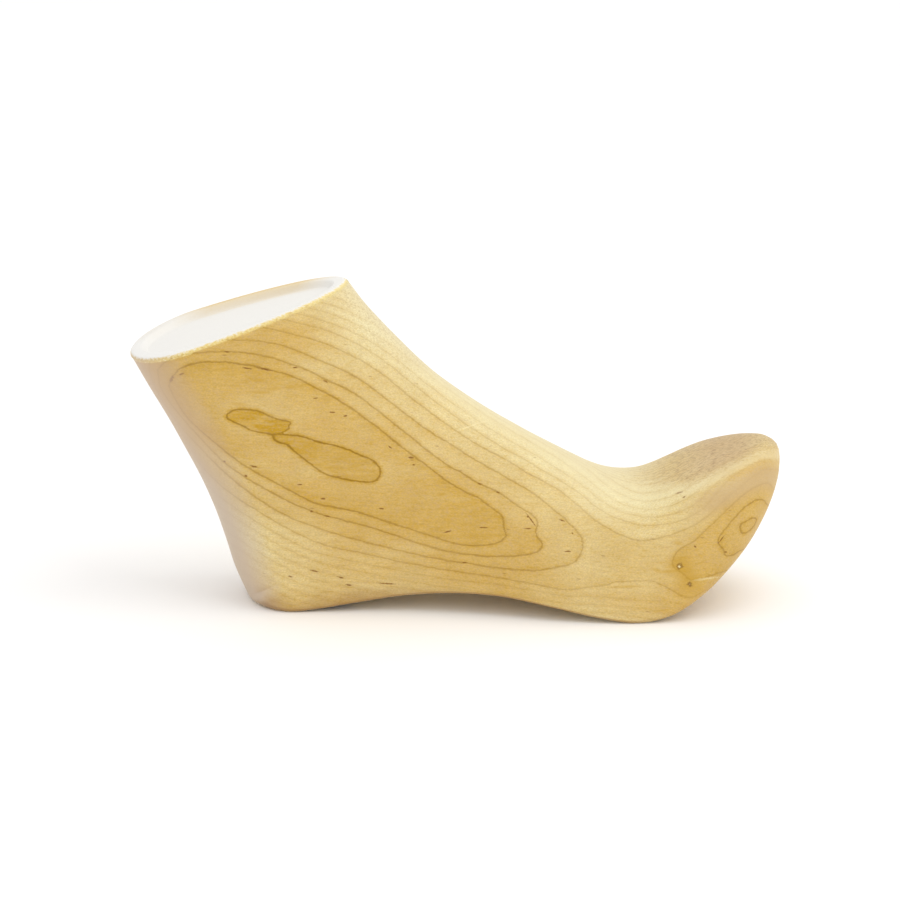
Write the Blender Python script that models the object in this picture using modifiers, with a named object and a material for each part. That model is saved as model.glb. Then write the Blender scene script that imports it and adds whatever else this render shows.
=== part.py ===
"""Cobbler's last: a foot carved from one block of maple, with a steel plate screwed into its seat.

Metres, +Z up. The toe points to +X and the inner side of the foot faces -Y. The last stands on its seat
and on the ball of the foot, and the origin lies under the middle of its outline.
"""

import math

import bmesh
import bpy
import numpy as np
from mathutils import Matrix, Vector

MM = 0.001

LAST_LENGTH = 322.9 * MM  # from the back of the cone's top to the end of the toe
LAST_WIDTH = 94.4 * MM  # across the ball of the foot
LAST_HEIGHT = 164.8 * MM  # to the front of the cone's top

# The block as sections through it, from the cone's top round to the toe. Each section runs from the base
# line (back of the heel, sole, underside of the toe) to the crest line (front of the cone, instep, vamp,
# top of the toe). All but the power are in millimetres:
# crest x, crest z, base x, base z, half-width, tuck of the base edge, depth of the crest's rounding,
# power of the crest's rounding, radius of the base edge, sway towards the outer side.
# They stretch to the length, width and height above.
SECTIONS = (
    (-54.2, 164.8, -161.7, 127.9, 34.4, 0.0, 94.0, 2.0, 4.5, 0.0),
    (-45.6, 152.8, -152.4, 110.8, 33.9, 0.0, 86.0, 2.0, 4.5, 0.0),
    (-36.8, 142.6, -142.9, 94.2, 33.5, 0.0, 79.0, 2.0, 4.5, 0.0),
    (-27.8, 133.0, -134.4, 78.0, 33.2, 0.0, 73.0, 2.0, 4.5, 0.0),
    (-18.8, 123.7, -126.4, 62.0, 33.0, 0.0, 68.0, 2.0, 4.5, 0.0),
    (-9.8, 115.4, -119.8, 46.0, 32.8, 0.0, 64.0, 2.0, 4.5, 0.0),
    (-0.6, 108.3, -114.8, 31.0, 32.6, 0.0, 60.0, 2.0, 4.5, 0.0),
    (7.1, 102.8, -110.6, 17.0, 32.4, 0.0, 57.0, 2.0, 4.5, 0.0),
    (13.0, 98.8, -106.3, 6.5, 32.2, 0.3, 55.0, 2.0, 4.5, 0.0),
    (17.4, 96.0, -104.2, 2.25, 32.1, 0.6, 54.0, 2.0, 4.5, 0.0),
    (21.8, 93.2, -102.55, 0.6, 32.0, 0.9, 53.0, 2.0, 4.5, 0.0),
    (26.4, 90.5, -100.3, 0.0, 31.9, 1.2, 52.0, 2.0, 4.5, 0.0),
    (32.0, 87.2, -94.0, 0.0, 31.8, 1.8, 51.0, 2.0, 3.2, 0.0),
    (38.6, 83.4, -83.0, 0.0, 31.8, 2.5, 50.0, 2.0, 1.9, 0.0),
    (46.0, 79.2, -67.0, 1.6, 32.2, 3.6, 48.0, 2.05, 1.6, 0.2),
    (53.0, 75.2, -48.0, 4.7, 33.2, 5.2, 46.0, 2.1, 1.6, 0.4),
    (60.0, 71.2, -27.0, 8.3, 35.0, 6.2, 43.0, 2.15, 1.6, 0.5),
    (68.0, 66.8, -3.0, 10.6, 37.8, 6.2, 40.0, 2.2, 1.6, 0.5),
    (76.0, 63.2, 22.0, 10.6, 41.4, 4.8, 36.0, 2.3, 1.6, 0.4),
    (84.0, 60.9, 46.0, 7.4, 45.2, 2.6, 31.0, 2.45, 1.6, 0.1),
    (92.0, 60.4, 70.0, 2.6, 47.2, 1.4, 26.0, 2.6, 1.8, 0.0),
    (99.0, 61.9, 90.2, 0.0, 47.0, 0.6, 21.0, 2.8, 2.4, -0.1),
    (107.0, 65.2, 108.2, 3.5, 45.6, 0.6, 17.0, 3.0, 4.2, -0.5),
    (115.0, 69.0, 123.3, 12.6, 43.6, 1.4, 14.5, 3.2, 7.0, -1.0),
    (123.0, 72.5, 135.3, 23.5, 41.2, 2.6, 12.6, 3.3, 9.8, -1.5),
    (131.0, 75.5, 145.3, 34.9, 38.0, 3.6, 11.4, 3.2, 12.0, -1.9),
    (139.0, 78.1, 152.6, 46.4, 33.6, 4.4, 10.0, 3.0, 12.0, -2.2),
    (146.0, 80.2, 157.4, 56.8, 27.8, 4.6, 8.4, 2.7, 10.0, -2.4),
    (152.2, 81.6, 160.1, 65.4, 20.6, 3.6, 6.4, 2.4, 7.2, -2.5),
    (157.0, 81.0, 161.0, 71.4, 13.2, 2.0, 4.4, 2.1, 4.4, -2.5),
    (159.6, 79.2, 161.2, 74.6, 7.4, 0.8, 2.2, 2.0, 2.2, -2.5),
)
DRAWN = np.array(SECTIONS) * MM
LONG_STRETCH = LAST_LENGTH / (DRAWN[:, 2].max() - DRAWN[:, 2].min())
WIDE_STRETCH = LAST_WIDTH / (2 * DRAWN[:, 4].max())
HIGH_STRETCH = LAST_HEIGHT / DRAWN[:, 1].max()
COLUMN_STRETCHES = {
    "crest_x": LONG_STRETCH,
    "crest_z": HIGH_STRETCH,
    "base_x": LONG_STRETCH,
    "base_z": HIGH_STRETCH,
    "half_width": WIDE_STRETCH,
    "tuck": WIDE_STRETCH,
    "crest_depth": HIGH_STRETCH,
    "crest_power": 1.0,
    "edge_radius": WIDE_STRETCH,
    "sway": WIDE_STRETCH,
}
TOE_TIP_X = 160.9 * MM * LONG_STRETCH  # where the last section closes
TOE_TIP_Z = 77.0 * MM * HIGH_STRETCH

HEEL_BACK_X = -104.8 * MM * LONG_STRETCH  # the back edge of the seat
SEAT_ROUND = 27.0 * MM  # how far forward of it the heel reaches its full width
CONE_ROUND = 34.7 * MM  # the same at the top of the cone
EDGE_RISE = 26.0 * MM  # height over which the tucked base edge grows to the full width

TOP_EDGE_RADIUS = 1.8 * MM
LIP_WIDTH = 4.0 * MM
DISH_DEPTH = 3.0 * MM
DISH_WALL_RUN = 3.4 * MM  # how far inwards the dish's rounded wall runs

PLATE_THICKNESS = 2.2 * MM
PLATE_MARGIN = 5.5 * MM  # from the edge of the seat to the plate
PLATE_LENGTH = 46.0 * MM
PLATE_CORNER_RADIUS = 4.0 * MM
CLEARANCE = 0.3 * MM

SCREW_HEAD_DIAMETER = 7.4 * MM
SCREW_SHANK_DIAMETER = 3.8 * MM
SCREW_LENGTH = 18.0 * MM
SCREW_POINT_LENGTH = 4.0 * MM
SCREW_MARGIN = 7.5 * MM  # from the plate's edge to a screw's axis
SLOT_WIDTH = 1.1 * MM
SLOT_DEPTH = 0.9 * MM
SLOT_ANGLES = (20.0, 74.0, 131.0, 48.0, 105.0)  # how far each screw was last turned, in degrees

SECTION_STEPS = 2  # steps from one of the sections above to the next
RING_STEPS = 24  # steps up each side of a section
SOLE_STEPS = 4  # steps from the middle of the sole to its edge
ROUND_STEPS = 4  # steps round the cone's edge, and down the dish's wall
OUTLINE_STEPS = 16  # steps round each side of the plate's heel end
STRAIGHT_STEPS = 5  # steps along the plate's straight sides
TURNED_STEPS = 20  # steps round a screw
PAST = 5.0 * MM  # how far a cutter runs past what it cuts
WELD_REACH = 0.02 * MM  # corners that a cut leaves closer than this are joined

# Steepest turn between two faces that is still shaded smooth, in degrees
WOOD_TURN = 40.0
PLATE_TURN = 1.0
SCREW_TURN = 30.0


def smooth_slopes(values):
    """Slopes of a smooth curve at each of the given values."""
    steps = np.diff(values, axis=0)
    inner = (steps[:-1] + steps[1:]) / 2
    return np.vstack([steps[:1], inner, steps[-1:]])


def all_sections():
    """The sections with the steps between them, in metres, as a dictionary each."""
    table = np.array(SECTIONS)
    slopes = smooth_slopes(table)
    sections = []
    for place in np.linspace(0, len(table) - 1, (len(table) - 1) * SECTION_STEPS + 1):
        i = min(int(place), len(table) - 2)
        t = place - i
        row = (
            table[i] * (1 + 2 * t) * (1 - t) ** 2
            + slopes[i] * t * (1 - t) ** 2
            + table[i + 1] * t * t * (3 - 2 * t)
            - slopes[i + 1] * t * t * (1 - t)
        )
        stretched = row * list(COLUMN_STRETCHES.values())
        section = dict(zip(COLUMN_STRETCHES, stretched * MM))
        section["crest_power"] /= MM
        section["base_z"] = max(section["base_z"], 0.0)
        sections.append(section)
    for i, section in enumerate(sections):
        before = sections[max(i - 1, 0)]
        after = sections[min(i + 1, len(sections) - 1)]
        run = Vector((after["base_x"] - before["base_x"], after["base_z"] - before["base_z"]))
        up = Vector((section["crest_x"] - section["base_x"], section["crest_z"] - section["base_z"]))
        section["length"] = up.length
        section["lean"] = abs(run.normalized().cross(up.normalized()))
    return sections


def rounding(distance, depth, power=2.0):
    """Share of the full width at a distance from where a rounded end starts."""
    gone = 1.0 - min(max(distance / depth, 0.0), 1.0)
    return (1.0 - gone**power) ** (1.0 / power)


def heel_round(height):
    """How far forward the round of the heel reaches at a height."""
    return SEAT_ROUND + (CONE_ROUND - SEAT_ROUND) * min(max(height / LAST_HEIGHT, 0.0), 1.0)


def half_width(section, share):
    """Half-width of a section at a share of the way from its base to its crest."""
    along = section["length"] * share
    z = section["base_z"] + (section["crest_z"] - section["base_z"]) * share
    radius = section["edge_radius"]
    on_heel_back = section["base_x"] < HEEL_BACK_X + radius
    height = z if on_heel_back else along * section["lean"]
    inset = radius - math.sqrt(radius**2 - (radius - min(height, radius)) ** 2)
    rise = 1.0 - min(height / EDGE_RISE, 1.0)
    width = section["half_width"] - section["tuck"] * rise**2 - inset
    behind = max(section["base_x"] - HEEL_BACK_X, 0.0) + along - inset
    heel = rounding(behind, heel_round(z) - inset)
    crest = rounding(section["length"] - along, section["crest_depth"], section["crest_power"])
    return max(width, 0.0) * heel * crest


def ring(section):
    """The section's outline: sole from its middle, near side, crest, far side, and back to the sole."""
    base = Vector((section["base_x"], section["sway"], section["base_z"]))
    crest = Vector((section["crest_x"], section["sway"], section["crest_z"]))
    edge = half_width(section, 0.0)
    sole = [Vector((0, edge * k / SOLE_STEPS, 0)) for k in range(SOLE_STEPS)]
    near = [base - offset for offset in sole]
    far = [base + offset for offset in sole[1:]]
    for j in range(RING_STEPS):
        share = (1.0 - math.cos(math.pi * j / RING_STEPS)) / 2.0
        middle = base.lerp(crest, share)
        offset = Vector((0, half_width(section, share), 0))
        near.append(middle - offset)
        far.append(middle + offset)
    return [*near, crest, *reversed(far)]


def cone_top(section):
    """The middle of the cone's top, and the direction that it faces."""
    base = Vector((section["base_x"], 0, section["base_z"]))
    crest = Vector((section["crest_x"], 0, section["crest_z"]))
    across = (crest - base).normalized()
    return (base + crest) / 2, Vector((-across.z, 0, across.x))


def cone_top_steps():
    """Insets from the cone's outline and drops below its top, from the rounded edge to the dish's floor."""
    steps = []
    for k in range(1, ROUND_STEPS + 1):
        turn = math.pi / 2 * k / ROUND_STEPS
        steps.append((TOP_EDGE_RADIUS * (1 - math.cos(turn)), TOP_EDGE_RADIUS * (1 - math.sin(turn))))
    lip = TOP_EDGE_RADIUS + LIP_WIDTH
    for k in range(ROUND_STEPS + 1):
        share = k / ROUND_STEPS
        steps.append((lip + DISH_WALL_RUN * share, DISH_DEPTH * (1 - math.cos(math.pi * share)) / 2))
    return steps


def cone_top_ring(section, outline, inset, drop):
    """The cone's outline drawn in by an inset, at a drop below the top."""
    middle, normal = cone_top(section)
    long_radius = max((point - middle).length for point in outline)
    wide_radius = max(abs(point.y) for point in outline)
    points = []
    for point in outline:
        across = Vector((0, point.y, 0))
        along = point - middle - across
        along *= 1 - inset / long_radius
        across *= 1 - inset / wide_radius
        points.append(middle + along + across - normal * drop)
    return points


def joined_rings(name, rings):
    """A closed mesh from rings of points. A ring that is drawn together at a point closes its end too."""
    mesh = bmesh.new()
    loops = [[mesh.verts.new(point) for point in points] for points in rings]
    count = len(loops[0])
    mesh.faces.new(loops[0])
    mesh.faces.new(loops[-1])
    for inner, outer in zip(loops, loops[1:]):
        for k in range(count):
            mesh.faces.new((inner[k], outer[k], outer[(k + 1) % count], inner[(k + 1) % count]))
    bmesh.ops.remove_doubles(mesh, verts=mesh.verts, dist=0.002 * MM)
    bmesh.ops.recalc_face_normals(mesh, faces=mesh.faces)
    return as_object(name, mesh)


def as_object(name, mesh):
    """An object from a bmesh, not yet in a collection."""
    data = bpy.data.meshes.new(name)
    mesh.to_mesh(data)
    mesh.free()
    return bpy.data.objects.new(name, data)


def prism(name, outline, low, high):
    """A flat outline of x and y, closed between two heights."""
    mesh = bmesh.new()
    face = mesh.faces.new([mesh.verts.new((x, y, low)) for x, y in outline])
    lifted = bmesh.ops.extrude_face_region(mesh, geom=[face])["geom"]
    raised = [item for item in lifted if isinstance(item, bmesh.types.BMVert)]
    bmesh.ops.translate(mesh, vec=(0, 0, high - low), verts=raised)
    bmesh.ops.recalc_face_normals(mesh, faces=mesh.faces)
    return as_object(name, mesh)


def turned(name, profile):
    """A turned solid from its profile of radius and height, from the top down. Its corners lie half a step
    off the axes, clear of what it cuts along them."""
    mesh = bmesh.new()
    start = Matrix.Rotation(math.pi / TURNED_STEPS, 4, "Z")
    points = [mesh.verts.new(start @ Vector((radius, 0, height))) for radius, height in profile]
    for above, below in zip(points, points[1:]):
        mesh.edges.new((above, below))
    turned_object = as_object(name, mesh)
    screw = turned_object.modifiers.new("Turn", "SCREW")
    screw.axis = "Z"
    screw.steps = TURNED_STEPS
    screw.render_steps = TURNED_STEPS
    screw.use_merge_vertices = True
    screw.merge_threshold = 0.00001
    return turned_object


def cut(target, cutter):
    """Cuts a cutter out of a part."""
    boolean = target.modifiers.new(f"Cut {cutter.name}", "BOOLEAN")
    boolean.operation = "DIFFERENCE"
    boolean.solver = "EXACT"
    boolean.object = cutter


def weld(part):
    """Joins the corners that the cuts in a part leave all but touching."""
    modifier = part.modifiers.new("Weld", "WELD")
    modifier.merge_threshold = WELD_REACH


def sole_line(sections):
    """Places along the seat and the waist, as x and z."""
    return [
        (section["base_x"], section["base_z"])
        for section in sections
        if section["base_x"] >= HEEL_BACK_X
    ]


def sole_height(sections, x):
    """Height of the sole at a place along it."""
    xs, zs = zip(*sole_line(sections))
    return float(np.interp(x, xs, zs))


def seat_half_width(sections, x):
    """Half-width of the seat at a place along it, before the edge is rounded."""
    line = [section for section in sections if section["base_x"] >= HEEL_BACK_X]
    full = np.interp(
        x,
        [section["base_x"] for section in line],
        [section["half_width"] - section["tuck"] for section in line],
    )
    return float(full)


def plate_places(back, front, depth, corner):
    """Places along the plate, close together where its outline turns."""
    quarter = np.linspace(0.0, math.pi / 2, OUTLINE_STEPS + 1)
    heel = back + depth * (1 - np.cos(quarter))
    straight = np.linspace(back + depth, front - corner, STRAIGHT_STEPS + 1)[1:]
    quarter = np.linspace(0.0, math.pi / 2, ROUND_STEPS + 1)[1:]
    return [*heel, *straight, *(front - corner + corner * np.sin(quarter))]


def plate_shape(name, sections, grow, low, high):
    """The plate's shape: the seat's outline drawn in by the margin and cut square in front, between two
    heights above the sole."""
    margin = PLATE_MARGIN - grow
    back = HEEL_BACK_X + margin
    front = HEEL_BACK_X + PLATE_MARGIN + PLATE_LENGTH + grow
    depth = SEAT_ROUND - margin
    corner = PLATE_CORNER_RADIUS + grow
    rings = []
    for x in plate_places(back, front, depth, corner):
        side = (seat_half_width(sections, x) - margin) * rounding(x - back, depth)
        side -= corner * (1 - rounding(front - x, corner))
        z = sole_height(sections, x)
        corners = ((-side, z + low), (side, z + low), (side, z + high), (-side, z + high))
        rings.append([Vector((x, *corner)) for corner in corners])
    return joined_rings(name, rings)


def screw_places(sections):
    """Where each screw's head lies, as x and y: two in front, two beside the heel's round, one behind."""
    behind_x = HEEL_BACK_X + PLATE_MARGIN + SCREW_MARGIN
    side_x = HEEL_BACK_X + SEAT_ROUND
    front_x = HEEL_BACK_X + PLATE_MARGIN + PLATE_LENGTH - SCREW_MARGIN
    inset = PLATE_MARGIN + SCREW_MARGIN
    places = [(behind_x, 0.0)]
    for x in (side_x, front_x):
        y = seat_half_width(sections, x) - inset
        places += [(x, -y), (x, y)]
    return places


def screw_pose(sections, place):
    """Where a screw's head lies and how it is tilted, square to the seat."""
    x, y = place
    rise = sole_height(sections, x + MM) - sole_height(sections, x - MM)
    tilt = math.atan2(rise, 2 * MM)
    return Matrix.Translation((x, y, sole_height(sections, x))) @ Matrix.Rotation(-tilt, 4, "Y")


def screw_profile(grow=0.0, under=0.0):
    """Half of a countersunk screw as radius and height, from its point down its cone to below its head."""
    head = SCREW_HEAD_DIAMETER / 2 + grow
    shank = SCREW_SHANK_DIAMETER / 2 + grow
    return [
        (0.0, SCREW_LENGTH + grow),
        (shank, SCREW_LENGTH - SCREW_POINT_LENGTH + grow),
        (shank, head - shank),
        (head + under, -under),
        (0.0, -under),
    ]


def principled(name, colour, roughness, metallic):
    """A plain material."""
    material = bpy.data.materials.new(name)
    material.use_nodes = True
    shader = material.node_tree.nodes["Principled BSDF"]
    shader.inputs["Base Color"].default_value = (*colour, 1.0)
    shader.inputs["Roughness"].default_value = roughness
    shader.inputs["Metallic"].default_value = metallic
    material.diffuse_color = (*colour, 1.0)
    return material


def finish_part(part, collection, material, smooth_turn):
    """Puts a part in its collection with its material, shaded smooth up to its sharp edges."""
    collection.objects.link(part)
    part.data.materials.append(material)
    part.data.shade_smooth()
    part.data.set_sharp_from_angle(angle=math.radians(smooth_turn))


def finish_cutter(cutter, collection):
    """Puts a cutter in its collection, out of the render."""
    collection.objects.link(cutter)
    cutter.hide_render = True
    cutter.display_type = "WIRE"


def make_block(sections, parts, material):
    """The carved block with its dished top, before the plate is let in."""
    rings = [ring(section) for section in sections]
    outline = rings[0]
    top = [
        cone_top_ring(sections[0], outline, inset, drop) for inset, drop in reversed(cone_top_steps())
    ]
    rings[0] = cone_top_ring(sections[0], outline, 0.0, TOP_EDGE_RADIUS)
    tip = Vector((TOE_TIP_X, sections[-1]["sway"], TOE_TIP_Z))
    block = joined_rings("last_block", [*top, *rings, [tip] * len(outline)])
    finish_part(block, parts, material, WOOD_TURN)
    return block


def make_plate(sections, parts, cutters, material):
    """The heel plate, bent to the seat, with the pocket's cutter."""
    plate = plate_shape("heel_plate", sections, 0.0, 0.0, PLATE_THICKNESS)
    pocket = plate_shape("seat_pocket", sections, CLEARANCE, -PAST, PLATE_THICKNESS + CLEARANCE)
    finish_part(plate, parts, material, PLATE_TURN)
    finish_cutter(pocket, cutters)
    return plate, pocket


def make_screw(number, pose, parts, cutters, material):
    """One slotted screw, with the cutter for its hole."""
    screw = turned(f"heel_plate_screw_{number}", screw_profile())
    hole = turned(f"screw_hole_{number}", screw_profile(CLEARANCE, PAST))
    length = SCREW_HEAD_DIAMETER + 2 * PAST
    corners = [(length / 2, SLOT_WIDTH / 2), (-length / 2, SLOT_WIDTH / 2)]
    corners += [(-x, -y) for x, y in corners]
    slot = prism(f"screw_slot_{number}", corners, -PAST, SLOT_DEPTH)
    slot.matrix_world = pose @ Matrix.Rotation(math.radians(SLOT_ANGLES[number - 1]), 4, "Z")
    screw.matrix_world = pose
    hole.matrix_world = pose
    cut(screw, slot)
    finish_part(screw, parts, material, SCREW_TURN)
    for cutter in (hole, slot):
        finish_cutter(cutter, cutters)
    return hole


def main():
    for old in list(bpy.data.objects):
        bpy.data.objects.remove(old)
    parts = bpy.data.collections.new("Cobbler last")
    cutters = bpy.data.collections.new("Cutters")
    for collection in (parts, cutters):
        bpy.context.scene.collection.children.link(collection)

    maple = principled("Maple", (0.72, 0.54, 0.27), 0.5, 0.0)
    plate_steel = principled("Rolled steel", (0.42, 0.41, 0.40), 0.4, 1.0)
    screw_steel = principled("Bright steel", (0.55, 0.54, 0.52), 0.3, 1.0)

    sections = all_sections()
    block = make_block(sections, parts, maple)
    plate, pocket = make_plate(sections, parts, cutters, plate_steel)
    cut(block, pocket)
    for number, place in enumerate(screw_places(sections), start=1):
        hole = make_screw(number, screw_pose(sections, place), parts, cutters, screw_steel)
        cut(block, hole)
        cut(plate, hole)
    weld(block)
    weld(plate)


main()
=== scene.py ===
"""The looks of a cobbler's last: sanded hard maple, with a steel plate screwed into its seat.

It is laid out as an add-on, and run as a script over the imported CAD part. Metres, +Z up. The toe points to
+X and the inner side of the foot faces -Y.
"""

import math

import bmesh
import bpy
import numpy as np
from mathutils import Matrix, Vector


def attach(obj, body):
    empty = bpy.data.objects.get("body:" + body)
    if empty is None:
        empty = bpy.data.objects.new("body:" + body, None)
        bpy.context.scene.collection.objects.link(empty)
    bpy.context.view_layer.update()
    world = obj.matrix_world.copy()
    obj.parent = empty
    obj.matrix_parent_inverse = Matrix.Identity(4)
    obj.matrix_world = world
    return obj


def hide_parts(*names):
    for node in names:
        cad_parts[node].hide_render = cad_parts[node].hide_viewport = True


bl_info = {
    "name": "Cobbler's last",
    "version": (1, 0, 0),
    "blender": (4, 5, 0),
    "location": "3D View > Sidebar > Last",
    "description": "Builds a maple last with its heel plate, over the CAD part",
    "category": "Add Mesh",
}

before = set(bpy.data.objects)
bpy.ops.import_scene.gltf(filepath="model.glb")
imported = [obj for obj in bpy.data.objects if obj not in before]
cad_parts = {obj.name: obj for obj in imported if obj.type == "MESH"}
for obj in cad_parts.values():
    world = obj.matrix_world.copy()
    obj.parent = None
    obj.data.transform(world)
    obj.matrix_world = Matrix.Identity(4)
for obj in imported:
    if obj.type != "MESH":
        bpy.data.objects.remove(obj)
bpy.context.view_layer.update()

MM = 0.001

LAST_LENGTH = 322.9 * MM  # from the back of the cone's top to the end of the toe
LAST_WIDTH = 94.4 * MM  # across the ball of the foot
LAST_HEIGHT = 164.8 * MM  # to the front of the cone's top

# The block as sections through it, from the cone's top round to the toe, as the CAD part has them. Each
# section runs from the base line (back of the heel, sole, underside of the toe) to the crest line (front of
# the cone, instep, vamp, top of the toe). All but the power are in millimetres:
# crest x, crest z, base x, base z, half-width, tuck of the base edge, depth of the crest's rounding,
# power of the crest's rounding, radius of the base edge, sway towards the outer side.
SECTIONS = (
    (-54.2, 164.8, -161.7, 127.9, 34.4, 0.0, 94.0, 2.0, 4.5, 0.0),
    (-45.6, 152.8, -152.4, 110.8, 33.9, 0.0, 86.0, 2.0, 4.5, 0.0),
    (-36.8, 142.6, -142.9, 94.2, 33.5, 0.0, 79.0, 2.0, 4.5, 0.0),
    (-27.8, 133.0, -134.4, 78.0, 33.2, 0.0, 73.0, 2.0, 4.5, 0.0),
    (-18.8, 123.7, -126.4, 62.0, 33.0, 0.0, 68.0, 2.0, 4.5, 0.0),
    (-9.8, 115.4, -119.8, 46.0, 32.8, 0.0, 64.0, 2.0, 4.5, 0.0),
    (-0.6, 108.3, -114.8, 31.0, 32.6, 0.0, 60.0, 2.0, 4.5, 0.0),
    (7.1, 102.8, -110.6, 17.0, 32.4, 0.0, 57.0, 2.0, 4.5, 0.0),
    (13.0, 98.8, -106.3, 6.5, 32.2, 0.3, 55.0, 2.0, 4.5, 0.0),
    (17.4, 96.0, -104.2, 2.25, 32.1, 0.6, 54.0, 2.0, 4.5, 0.0),
    (21.8, 93.2, -102.55, 0.6, 32.0, 0.9, 53.0, 2.0, 4.5, 0.0),
    (26.4, 90.5, -100.3, 0.0, 31.9, 1.2, 52.0, 2.0, 4.5, 0.0),
    (32.0, 87.2, -94.0, 0.0, 31.8, 1.8, 51.0, 2.0, 3.2, 0.0),
    (38.6, 83.4, -83.0, 0.0, 31.8, 2.5, 50.0, 2.0, 1.9, 0.0),
    (46.0, 79.2, -67.0, 1.6, 32.2, 3.6, 48.0, 2.05, 1.6, 0.2),
    (53.0, 75.2, -48.0, 4.7, 33.2, 5.2, 46.0, 2.1, 1.6, 0.4),
    (60.0, 71.2, -27.0, 8.3, 35.0, 6.2, 43.0, 2.15, 1.6, 0.5),
    (68.0, 66.8, -3.0, 10.6, 37.8, 6.2, 40.0, 2.2, 1.6, 0.5),
    (76.0, 63.2, 22.0, 10.6, 41.4, 4.8, 36.0, 2.3, 1.6, 0.4),
    (84.0, 60.9, 46.0, 7.4, 45.2, 2.6, 31.0, 2.45, 1.6, 0.1),
    (92.0, 60.4, 70.0, 2.6, 47.2, 1.4, 26.0, 2.6, 1.8, 0.0),
    (99.0, 61.9, 90.2, 0.0, 47.0, 0.6, 21.0, 2.8, 2.4, -0.1),
    (107.0, 65.2, 108.2, 3.5, 45.6, 0.6, 17.0, 3.0, 4.2, -0.5),
    (115.0, 69.0, 123.3, 12.6, 43.6, 1.4, 14.5, 3.2, 7.0, -1.0),
    (123.0, 72.5, 135.3, 23.5, 41.2, 2.6, 12.6, 3.3, 9.8, -1.5),
    (131.0, 75.5, 145.3, 34.9, 38.0, 3.6, 11.4, 3.2, 12.0, -1.9),
    (139.0, 78.1, 152.6, 46.4, 33.6, 4.4, 10.0, 3.0, 12.0, -2.2),
    (146.0, 80.2, 157.4, 56.8, 27.8, 4.6, 8.4, 2.7, 10.0, -2.4),
    (152.2, 81.6, 160.1, 65.4, 20.6, 3.6, 6.4, 2.4, 7.2, -2.5),
    (157.0, 81.0, 161.0, 71.4, 13.2, 2.0, 4.4, 2.1, 4.4, -2.5),
    (159.6, 79.2, 161.2, 74.6, 7.4, 0.8, 2.2, 2.0, 2.2, -2.5),
)
DRAWN = np.array(SECTIONS) * MM
LONG_STRETCH = LAST_LENGTH / (DRAWN[:, 2].max() - DRAWN[:, 2].min())
WIDE_STRETCH = LAST_WIDTH / (2 * DRAWN[:, 4].max())
HIGH_STRETCH = LAST_HEIGHT / DRAWN[:, 1].max()
COLUMN_STRETCHES = {
    "crest_x": LONG_STRETCH,
    "crest_z": HIGH_STRETCH,
    "base_x": LONG_STRETCH,
    "base_z": HIGH_STRETCH,
    "half_width": WIDE_STRETCH,
    "tuck": WIDE_STRETCH,
    "crest_depth": HIGH_STRETCH,
    "crest_power": 1.0,
    "edge_radius": WIDE_STRETCH,
    "sway": WIDE_STRETCH,
}
TOE_TIP_X = 160.9 * MM * LONG_STRETCH  # where the last section closes
TOE_TIP_Z = 77.0 * MM * HIGH_STRETCH

HEEL_BACK_X = -104.8 * MM * LONG_STRETCH  # the back edge of the seat
SEAT_ROUND = 27.0 * MM  # how far forward of it the heel reaches its full width
CONE_ROUND = 34.7 * MM  # the same at the top of the cone
EDGE_RISE = 26.0 * MM  # height over which the tucked base edge grows to the full width

TOP_EDGE_RADIUS = 1.8 * MM
LIP_WIDTH = 4.0 * MM
DISH_DEPTH = 3.0 * MM
DISH_WALL_RUN = 3.4 * MM  # how far inwards the dish's rounded wall runs
DISH_FLOOR_STEPS = 10  # rings across the dish's floor
CLEARANCE = 0.3 * MM  # round the heel plate in its pocket, and round the screws in their holes
MERGE_GAP = 0.002 * MM  # points nearer than this are one
PLATE_SCREWS = tuple(f"heel_plate_screw_{number}" for number in range(1, 6))

SECTION_STEPS = 8  # steps from one of the sections above to the next
RING_STEPS = 96  # steps up each side of a section
SOLE_STEPS = 14  # steps from the middle of the sole to its edge
ROUND_STEPS = 8  # steps round the cone's edge, and down the dish's wall
WOOD_TURN = 40.0  # steepest turn between two faces that is still shaded smooth, in degrees
STEEL_TURN = 30.0  # edges of the steel that turn more than this are broken

# The growth rings lie slanted through the block: going outwards, they climb by this much a millimetre.
RING_CLIMB = 0.325
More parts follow.
